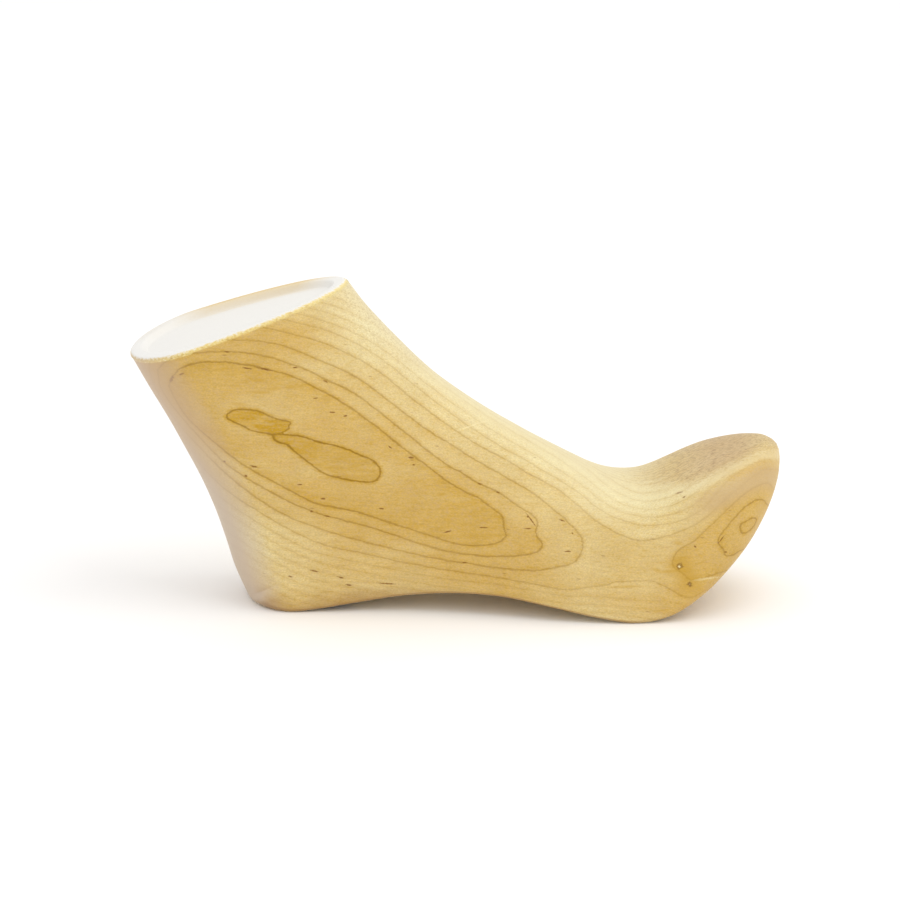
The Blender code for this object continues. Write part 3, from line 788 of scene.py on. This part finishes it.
def marks(tree, figure, ragged, places):
    """How strongly a ragged oval mark shows at each point, 0 to 1, for marks at the given places."""
    nearness = 0.0
    for x, z, half_length, half_width, climb in places:
        size = (half_length * MARK_REACH, half_width * MARK_REACH, 1.0)
        turn = (0.0, 0.0, math.radians(climb))
        within = add(tree, "Mapping", (figure, (x, z, 0.0), turn, size), vector_type="TEXTURE")
        within = add(tree, "TexGradient", (within,), gradient_type="SPHERICAL").node.outputs["Fac"]
        nearness = add(tree, "Math", (nearness, within), "MAXIMUM")
    away = add(tree, "Math", (nearness, -MARK_REACH, MARK_REACH), "MULTIPLY_ADD")
    away = add(tree, "Math", (ragged, 2.0, away), "MULTIPLY_ADD")
    return add(tree, "MapRange", (away, 0.4, 1.5, 1.0, 0.0), interpolation_type="SMOOTHSTEP")


def sanded_maple(looks):
    """Hard maple, carved, rasped and sanded, and left bare: a pale, close wood with a silky dull sheen,
    thin brown lines where each year's growth ends, fine fibres and short brown flecks."""
    material, tree, shader = plain_material("sanded_hard_maple")
    place = add(tree, "TexCoord").node.outputs["Object"]
    x, y, z = add(tree, "SeparateXYZ", (place,)).node.outputs
    facing = add(tree, "NewGeometry").node.outputs["Normal"]
    facing_x, facing_y, facing_z = add(tree, "SeparateXYZ", (facing,)).node.outputs
    ruled, season, slope, inset = (
        add(tree, "Attribute", attribute_name=name).node.outputs["Fac"]
        for name in ("growth", "season", "growth_slope", "top_inset")
    )

    # Clouds drawn out along the fibres: their climb, their millimetres along and across, and their detail.
    # The fibres are drawn wider than the real 0.1 mm so that they show.
    patches, specks, waves, teeth, gilding, fibre, streak, curl, grit, neck_pores, toe_pores = (
        add(
            tree,
            "TexNoise",
            {
                "Vector": add(
                    tree,
                    "Mapping",
                    (place, (0.0, 0.0, 0.0), (0.0, -climb, 0.0), (along * MM, across * MM, across * MM)),
                    vector_type="TEXTURE",
                ),
                "Scale": 1.0,
                "Detail": detail,
            },
        )
        for climb, along, across, detail in (
            (GRAIN_SLANT, 40.0, 16.0, 3.0),
            (GRAIN_SLANT, 1.5, 0.9, 3.0),
            (GRAIN_SLANT, 9.0, 4.0, 1.0),
            (GRAIN_SLANT, 2.4, 1.0, 1.0),
            (GRAIN_SLANT, 9.0, 2.0, 3.0),
            (GRAIN_SLANT, 14.0, looks.fibre_width / MM, 3.0),
            (GRAIN_SLANT, 11.0, 1.6, 2.0),
            (GRAIN_SLANT, 9.0, 30.0, 2.0),
            (GRAIN_SLANT, 0.9, 0.5, 1.0),
            (GRAIN_SLANT, 2.6, 0.7, 3.0),
            (TOE_SLANT, 2.4, 0.6, 3.0),
        )
    )
    ragged = add(tree, "Math", (specks, 0.5), "SUBTRACT")

    # The lines waver by a few tenths of a millimetre: long waves, and short ones like small teeth.
    safe_slope = add(tree, "Math", (slope, 0.04), "MAXIMUM")
    number = ruled
    for wave, reach in ((waves, 1.0), (teeth, 0.9)):
        wave = add(tree, "Math", (wave, 0.5), "SUBTRACT")
        wave = add(tree, "Math", (wave, safe_slope), "MULTIPLY")
        number = add(tree, "Math", (wave, reach, number), "MULTIPLY_ADD")

    # Distance to the nearest line, in millimetres
    line_number = add(tree, "Math", (number,), "ROUND")
    apart = add(tree, "Math", (number, line_number), "SUBTRACT")
    distance = add(tree, "Math", (apart, safe_slope), "DIVIDE")
    distance = add(tree, "Math", (distance,), "ABSOLUTE")
    half_line = looks.line_width / MM / 2
    # The outer ones are finer.
    thinned = add(tree, "Math", (distance, share(tree, (line_number, 3.0, 7.0, 1.0, 1.6))), "MULTIPLY")
    edges = (thinned, half_line * 0.1, half_line * 2.3, 1.0, 0.0)
    line = add(tree, "MapRange", edges, interpolation_type="SMOOTHSTEP")
    # The innermost lines are the strongest, and each comes and goes a little along its run.
    coming = share(tree, (patches, 0.35, 0.6, 0.75, 1.0))
    strength = share(tree, (line_number, 0.0, 6.0, 1.0, 0.3), coming)
    # Under the figure, towards the heel's seat, they all but vanish, and on the toe the outer ones are faint.
    low = share(tree, (z, 10 * MM, 60 * MM, 1.0, 0.0), (line_number, 4.0, 5.0, 0.0, 0.6))
    on_toe = share(tree, (line_number, 2.0, 4.0, 0.0, 0.6), (x, 110 * MM, 130 * MM, 0.0, 1.0))
    shown = (add(tree, "Math", (1.0, hidden), "SUBTRACT") for hidden in (low, on_toe))
    line = share(tree, line, strength, *shown)

    # The wood deepens towards the middle of the figure, in clouds, and in each ring towards its line. The
    # colour is also deeper low down by the sole, over the lower waist, on the toe, and a little below the
    # top's edge at the back. The innermost rings glow golden on both sides of theirs.
    depth = share(tree, (season, 0.5, 7.5, 0.95, 0.0))
    for more in (
        [(z, 6 * MM, 30 * MM, 0.45, 0.0)],
        [(z, 25 * MM, 75 * MM, 0.35, 0.0), (x, 20 * MM, 70 * MM, 1.0, 0.0)],
        [(x, 45 * MM, 75 * MM, 0.0, 0.1)],
        [(x, 95 * MM, 125 * MM, 0.0, 0.35)],
        [(inset, -30.0, -8.0, 0.0, 0.5), (x, -70 * MM, -40 * MM, 1.0, 0.0)],
    ):
        depth = add(tree, "Math", (depth, share(tree, *more)), "ADD")
    cloud = add(tree, "Math", (patches, 0.5), "SUBTRACT")
    depth = add(tree, "Math", (cloud, 0.7, depth), "MULTIPLY_ADD", use_clamp=True)
    within_island = share(tree, (season, 0.04, -0.04, 0.0, 0.9), (x, -85 * MM, -65 * MM, 1.0, 0.5))
    late = add(tree, "Math", (season,), "FRACT")
    late = add(tree, "Math", (late, 2.5), "POWER")
    late = share(tree, late, strength, 0.7, (season, -0.02, 0.02, 0.0, 1.0))
    glow = share(tree, (distance, 0.2, 2.8, 0.9, 0.0), (line_number, 0.0, 2.0, 1.0, 0.3), coming)
    golden = add(tree, "Math", (late, glow), "MAXIMUM")
    golden = add(tree, "Math", (golden, within_island), "MAXIMUM")
    # Fibres are golden streaks and light and dark ones. The curl is soft bars across them.
    colour = laid(
        tree,
        (*looks.pale, 1.0),
        (looks.deep, depth),
        (looks.gold, golden, (gilding, 0.35, 0.6, 0.5, 1.15)),
        (looks.gold, (streak, 0.56, 0.7, 0.0, 0.3), depth),
    )
    value = share(
        tree, (fibre, 0.3, 0.7, 0.95, 1.05), (curl, 0.3, 0.7, 0.97, 1.03), (grit, 0.3, 0.7, 0.91, 1.09)
    )
    colour = add(tree, "HueSaturation", {"Color": colour, "Value": value})

    # Short flecks, each within a cell stretched along the fibres; most cells have none.
    size = (looks.fleck_length * 3, 3.2 * MM, 3.2 * MM)
    cell_place = (place, (0.0, 0.0, 0.0), (0.0, -GRAIN_SLANT, 0.0), size)
    cell_place = add(tree, "Mapping", cell_place, vector_type="TEXTURE")
    cells = add(tree, "TexVoronoi", {"Vector": cell_place, "Scale": 1.0}, feature="F1").node.outputs
    chance = add(tree, "SeparateColor", (cells["Color"],))
    chosen = add(tree, "Math", (chance, 0.85), "GREATER_THAN")
    # The plainest marks and the knots lie on the inner side only.
    climbed = add(tree, "Math", (y, RING_CLIMB, z), "MULTIPLY_ADD")
    figure = add(tree, "CombineXYZ", (x, climbed, 0.0))
    figure = add(tree, "VectorMath", {0: figure, "Scale": 1 / MM}, "SCALE")
    along, up, _ = add(tree, "SeparateXYZ", (figure,)).node.outputs
    inner = add(tree, "Math", (y, 0.0), "LESS_THAN")
    colour = laid(
        tree,
        colour,
        (looks.gold, (specks, 0.5, 0.68, 0.0, 0.34)),
        (looks.fawn, (specks, 0.48, 0.32, 0.0, 0.4)),
        (looks.line, line, (line_number, 0.4, 0.6, 0.75, 0.6)),
        (looks.fleck, (cells["Distance"], 0.05, 0.14, 1.0, 0.0), chosen, 0.4),
        (looks.gold, marks(tree, figure, ragged, STREAKS), inner, 0.42),
        (looks.fleck, marks(tree, figure, ragged, FLECKS), inner, 0.85),
        (looks.scuff, marks(tree, figure, ragged, SCUFFS), inner, 0.5),
    )
    # Each knot is a small ragged dark ring, light or dark within, and the wood round it is deeper.
    for *middle, radius, middle_dark in KNOTS:
        far = add(tree, "VectorMath", (figure, (*middle, 0.0)), "DISTANCE").node.outputs["Value"]
        far = add(tree, "Math", (ragged, 3.0, far), "MULTIPLY_ADD")
        rim = add(tree, "Math", (far, radius), "SUBTRACT")
        rim = add(tree, "Math", (rim,), "ABSOLUTE")
        dark = share(tree, (rim, 0.2, 0.9, 0.6, 0.0))
        filled = share(tree, (far, radius, radius + 0.6, middle_dark, 0.0))
        dark = add(tree, "Math", (dark, filled), "MAXIMUM")
        colour = laid(
            tree,
            colour,
            (looks.gold, (far, radius, KNOT_HALO, 0.6, 0.0), inner),
            (looks.knot, dark, inner),
            (looks.pale, (far, radius * 0.3, radius * 0.7, 1.0 - middle_dark, 0.0), inner, 0.8),
        )

    # A ridge climbs along the toe. On it a pale highlight is painted, and below it a greyer painted shade.
    # Over it the up-facing top of the toe is painted duller and browner as shade, and the fibres, cut at a
    # slant, show as streaks along the ridge.
    ridge = share(tree, (along, 116.0, 151.0, 56.0, 74.1))
    over_ridge = add(tree, "Math", (ragged, 6.0, up), "MULTIPLY_ADD")
    over_ridge = add(tree, "Math", (over_ridge, ridge), "SUBTRACT")
    above = share(tree, (over_ridge, -0.5, 5.0, 0.0, 1.0), (facing_z, 0.35, 0.6, 0.0, 1.0))
    fading_in = (add(tree, "Math", (ragged, 24.0, along), "MULTIPLY_ADD"), 84.0, 106.0, 0.0, 1.0)
    first = share(tree, above, fading_in, (along, 112.0, 126.0, 1.0, 0.0))
    near_side = (y, -6 * MM, 6 * MM, 1.0, 0.0)
    # A whiter highlight is painted over the up-facing crest of the instep and on the front of the cone, and a
    # greyer painted sheen on the back-facing parts of the heel. The sole's edge, where it turns under, is
    # painted brown as shade.
    on_neck = share(tree, (z, 100 * MM, 135 * MM, 0.0, 1.0), (facing_x, 0.3, 0.65, 0.0, 0.45))
    colour = laid(
        tree,
        colour,
        # Painted highlight on the up-facing crest of the instep and the cone
        (
            looks.crest,
            (facing_y, -0.75, -0.2, 0.0, 0.65),
            (facing_y, 0.15, 0.6, 1.0, 0.0),
            (facing_z, 0.05, 0.4, 0.0, 1.0),
            (x, 60 * MM, 110 * MM, 1.0, 0.0),
        ),
        # Painted highlight on the front of the cone, with open pores in it
        (looks.crest, on_neck, 0.75),
        (looks.open_pores, on_neck, (neck_pores, 0.47, 0.6, 0.0, 0.55)),
        # Painted sheen, greyer where the heel faces back
        (looks.back_sheen, (facing_x, -0.75, -0.15, 0.85, 0.0), (x, -95 * MM, -55 * MM, 1.0, 0.0)),
        # Painted sheen, greyer where the upper back faces back
        (looks.fawn, (facing_x, -0.5, -0.1, 0.35, 0.0), (z, 60 * MM, 90 * MM, 0.0, 1.0)),
        # Golden, then a little greyer, where the painted shade over the toe's top begins
        (looks.gold, first, 0.34),
        (looks.fawn, first, 0.06),
        # Painted shade over the up-facing top of the toe
        (looks.toe_top_shade, above, (along, 108.0, 128.0, 0.0, 0.72), (along, 141.0, 153.0, 1.0, 0.3)),
        # Painted highlight along the toe's ridge
        (
            looks.crest,
            (over_ridge, -4.5, -2.5, 0.0, 0.4),
            (over_ridge, 0.0, 3.0, 1.0, 0.0),
            (along, 105.0, 120.0, 0.0, 1.0),
            near_side,
        ),
        # Painted shade under the toe's ridge
        (
            looks.under_ridge_shade,
            (over_ridge, -9.0, -3.0, 0.62, 0.0),
            (over_ridge, -22.0, -15.0, 0.0, 1.0),
            (along, 110.0, 128.0, 0.0, 1.0),
            (facing_y, -0.5, -0.1, 1.0, 0.0),
        ),
        (looks.open_pores, above, fading_in, (toe_pores, 0.5, 0.6, 0.0, 0.6)),
        # Painted shade where the sole's edge turns down
        (
            looks.edge,
            (facing_z, -0.15, -0.45, 0.0, 0.55),
            (facing_z, -0.9, -0.75, 0.0, 1.0),
            (x, 85 * MM, 100 * MM, 1.0, 0.0),
            (x, -101 * MM, -94 * MM, 0.0, 1.0),
            (z, 12 * MM, 15 * MM, 1.0, 0.0),
        ),
    )

    # The dish in the cone's top is painted near-white as a burned-out highlight, inside a ragged painted
    # highlight along its rounded edge. Along the dish's outer side its far wall is painted tan as shade.
    wandering = add(tree, "Math", (ragged, 2.2, inset), "MULTIPLY_ADD")
    colour = laid(
        tree,
        colour,
        # Painted highlight along the top's rounded edge
        (looks.rim, (wandering, -0.6, 0.2, 0.0, 0.75), (x, -155 * MM, -135 * MM, 0.4, 1.0)),
        # Painted burned-out highlight: the near-white dish
        (looks.top, (wandering, 0.2, 1.0, 0.0, 0.92)),
        # Painted shade on the dish's far wall
        (
            looks.dish_far_shade,
            (wandering, 1.0, 11.0, 0.85, 0.0),
            (inset, 0.0, 0.5, 0.0, 1.0),
            (y, 6 * MM, 18 * MM, 0.0, 1.0),
            (x, -142 * MM, -122 * MM, 0.15, 1.0),
            (x, -78 * MM, -60 * MM, 1.0, 0.35),
        ),
    )

    tree.links.new(colour, shader.inputs["Base Color"])
    rough = share(tree, (fibre, 0.3, 0.7, looks.roughness - 0.05, looks.roughness + 0.05))
    tree.links.new(rough, shader.inputs["Roughness"])
    bump = add(tree, "Bump", {"Height": fibre, "Strength": 0.15, "Distance": 0.05 * MM})
    tree.links.new(bump, shader.inputs["Normal"])
    shader.inputs["IOR"].default_value = 1.5
    shader.inputs["Specular IOR Level"].default_value = 0.2
    shader.inputs["Sheen Weight"].default_value = 0.12
    shader.inputs["Sheen Roughness"].default_value = 0.4
    return material


def rolled_steel(looks):
    """Mild steel plate, hot rolled and worn by tack points: grey, with a dull sheen and fine pits."""
    material, tree, shader = plain_material("rolled_mild_steel")
    place = add(tree, "TexCoord").node.outputs["Object"]
    tarnish = add(tree, "TexNoise", {"Vector": place, "Scale": 160.0, "Detail": 5.0})
    colour = laid(tree, (*looks.tarnish, 1.0), (looks.plate, tarnish))
    tree.links.new(colour, shader.inputs["Base Color"])
    rough = share(tree, (tarnish, 0.3, 0.7, 0.5, 0.32))
    tree.links.new(rough, shader.inputs["Roughness"])
    # Pits about 0.8 mm apart
    pits = add(tree, "TexVoronoi", {"Vector": place, "Scale": 1200.0}, feature="SMOOTH_F1")
    bump = add(tree, "Bump", {"Height": pits, "Strength": 0.2, "Distance": 0.05 * MM})
    tree.links.new(bump, shader.inputs["Normal"])
    shader.inputs["Metallic"].default_value = 1.0
    return material


def bright_steel(looks):
    """Turned and bright wood screws: clean steel, with darker clouds of wear."""
    material, tree, shader = plain_material("turned_bright_steel")
    place = add(tree, "TexCoord").node.outputs["Object"]
    wear = add(tree, "TexNoise", {"Vector": place, "Scale": 600.0, "Detail": 3.0})
    colour = laid(tree, (*looks.worn, 1.0), (looks.screws, wear))
    tree.links.new(colour, shader.inputs["Base Color"])
    rough = share(tree, (wear, 0.3, 0.7, 0.36, 0.24))
    tree.links.new(rough, shader.inputs["Roughness"])
    shader.inputs["Metallic"].default_value = 1.0
    return material


def studio_floor(looks):
    """A pale, matt painted studio floor."""
    material, tree, shader = plain_material("matt_white_floor")
    shader.inputs["Base Color"].default_value = (*looks.floor, 1.0)
    shader.inputs["Roughness"].default_value = 0.9
    shader.inputs["Specular IOR Level"].default_value = 0.1
    return material


def soft_light(name, size, power, place):
    """Adds a large square light, turned towards the last."""
    data = bpy.data.lights.new(name, "AREA")
    data.shape = "SQUARE"
    data.size = size
    data.energy = power
    light = bpy.data.objects.new(name, data)
    bpy.context.scene.collection.objects.link(light)
    light.location = place
    light.rotation_euler = (Vector(LIGHT_TARGET) - Vector(place)).to_track_quat("-Z", "Y").to_euler()


def dress_steel(node, material, edge):
    """Gives a steel CAD node its finish and broken edges."""
    for slot in node.material_slots:
        slot.material = material
    bevel = node.modifiers.new("Broken edges", "BEVEL")
    bevel.width = edge
    bevel.segments = 2
    bevel.limit_method = "ANGLE"
    bevel.angle_limit = math.radians(STEEL_TURN)


class LAST_OT_maple_block(bpy.types.Operator):
    """Carves the maple block and cuts the pocket for its plate and the holes for the screws"""

    bl_idname = "last.maple_block"
    bl_label = "Maple block"

    def execute(self, context):
        sections = all_sections()
        outline = ring(sections[0])
        top = [
            cone_top_ring(sections[0], outline, inset, drop) for inset, drop in reversed(cone_top_steps())
        ]
        rings = [ring(section) for section in sections[1:]]
        edge = cone_top_ring(sections[0], outline, 0.0, TOP_EDGE_RADIUS)
        tip = Vector((TOE_TIP_X, sections[-1]["sway"], TOE_TIP_Z))
        rings = [*dish_floor_rings(top[0]), *top, edge, *rings, [tip] * len(outline)]
        block = joined_rings("maple_block", rings)
        cutters = [grown_copy(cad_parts["heel_plate"], "seat_pocket")]
        for name in PLATE_SCREWS:
            cutters.append(grown_copy(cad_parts[name], f"hole_for_{name}", hull=True))
        for cutter in cutters:
            cut = block.modifiers.new(cutter.name, "BOOLEAN")
            cut.operation = "DIFFERENCE"
            cut.solver = "EXACT"
            cut.object = cutter
        apply_modifiers(block)
        for cutter in cutters:
            bpy.data.objects.remove(cutter)
        smooth_shading(block, WOOD_TURN)
        add_growth(block)
        add_top(block, sections[0], outline)
        block.data.materials.append(sanded_maple(context.scene.last_wood))
        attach(block, "root")
        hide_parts("last_block")
        return {"FINISHED"}


class LAST_OT_heel_plate(bpy.types.Operator):
    """Finishes the steel plate in the seat"""

    bl_idname = "last.heel_plate"
    bl_label = "Heel plate"

    def execute(self, context):
        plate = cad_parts["heel_plate"]
        dress_steel(plate, rolled_steel(context.scene.last_steel), context.scene.last_steel.edge)
        return {"FINISHED"}


class LAST_OT_plate_screws(bpy.types.Operator):
    """Finishes the five screws that hold the plate"""

    bl_idname = "last.plate_screws"
    bl_label = "Plate screws"

    def execute(self, context):
        steel = bright_steel(context.scene.last_steel)
        for name in PLATE_SCREWS:
            dress_steel(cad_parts[name], steel, context.scene.last_steel.edge)
        return {"FINISHED"}


class LAST_OT_stage(bpy.types.Operator):
    """Sets the pale floor, the soft lights and the camera"""

    bl_idname = "last.stage"
    bl_label = "Stage"

    def execute(self, context):
        scene = context.scene
        looks = scene.last_stage
        mesh = bmesh.new()
        corners = ((-1, -1), (1, -1), (1, 1), (-1, 1))
        mesh.faces.new([mesh.verts.new((x * FLOOR_HALF, y * FLOOR_HALF, 0.0)) for x, y in corners])
        floor = as_object("studio_floor", mesh)
        floor.data.materials.append(studio_floor(looks))

        world = bpy.data.worlds.new("Pale room")
        world.use_nodes = True
        background = world.node_tree.nodes["Background"]
        background.inputs["Color"].default_value = (*linear("#FFFFFF"), 1.0)
        background.inputs["Strength"].default_value = looks.surround
        scene.world = world

        soft_light("Key", KEY_SIZE, looks.key, KEY_PLACE)
        soft_light("Front", FRONT_SIZE, looks.front, FRONT_PLACE)

        camera_data = bpy.data.cameras.new("Camera")
        camera_data.lens = CAMERA_LENS
        camera_data.sensor_width = SENSOR_WIDTH
        camera_data.clip_end = CAMERA_REACH
        camera = bpy.data.objects.new("Camera", camera_data)
        scene.collection.objects.link(camera)
        far = PICTURE_WIDTH * CAMERA_LENS / SENSOR_WIDTH
        direction = Vector((0.0, -math.cos(CAMERA_ELEVATION), math.sin(CAMERA_ELEVATION)))
        camera.location = Vector(CAMERA_TARGET) + direction * far
        camera.rotation_euler = (math.pi / 2 - CAMERA_ELEVATION, 0.0, 0.0)
        scene.camera = camera
        scene.view_settings.view_transform = "Standard"
        return {"FINISHED"}


class LAST_PT_panel(bpy.types.Panel):
    """Lists the pieces of the last"""

    bl_idname = "LAST_PT_panel"
    bl_label = "Cobbler's last"
    bl_space_type = "VIEW_3D"
    bl_region_type = "UI"
    bl_category = "Last"

    def draw(self, context):
        for settings, operators in PANEL_ROWS:
            box = self.layout.box()
            group = getattr(context.scene, settings)
            for name in group.bl_rna.properties.keys():
                if name not in ("rna_type", "name"):
                    box.prop(group, name)
            for operator in operators:
                box.operator(operator.bl_idname)


PANEL_ROWS = (
    ("last_wood", (LAST_OT_maple_block,)),
    ("last_steel", (LAST_OT_heel_plate, LAST_OT_plate_screws)),
    ("last_stage", (LAST_OT_stage,)),
)
SETTINGS = {
    "last_wood": LastWoodSettings,
    "last_steel": LastSteelSettings,
    "last_stage": LastStageSettings,
}
CLASSES = (
    *SETTINGS.values(),
    LAST_OT_maple_block,
    LAST_OT_heel_plate,
    LAST_OT_plate_screws,
    LAST_OT_stage,
    LAST_PT_panel,
)


def register():
    for made in CLASSES:
        bpy.utils.register_class(made)
    for name, settings in SETTINGS.items():
        setattr(bpy.types.Scene, name, bpy.props.PointerProperty(type=settings))


def unregister():
    for name in SETTINGS:
        delattr(bpy.types.Scene, name)
    for made in reversed(CLASSES):
        bpy.utils.unregister_class(made)


def main():
    register()
    bpy.ops.last.maple_block()
    bpy.ops.last.heel_plate()
    bpy.ops.last.plate_screws()
    bpy.ops.last.stage()


if __name__ == "__main__":
    main()
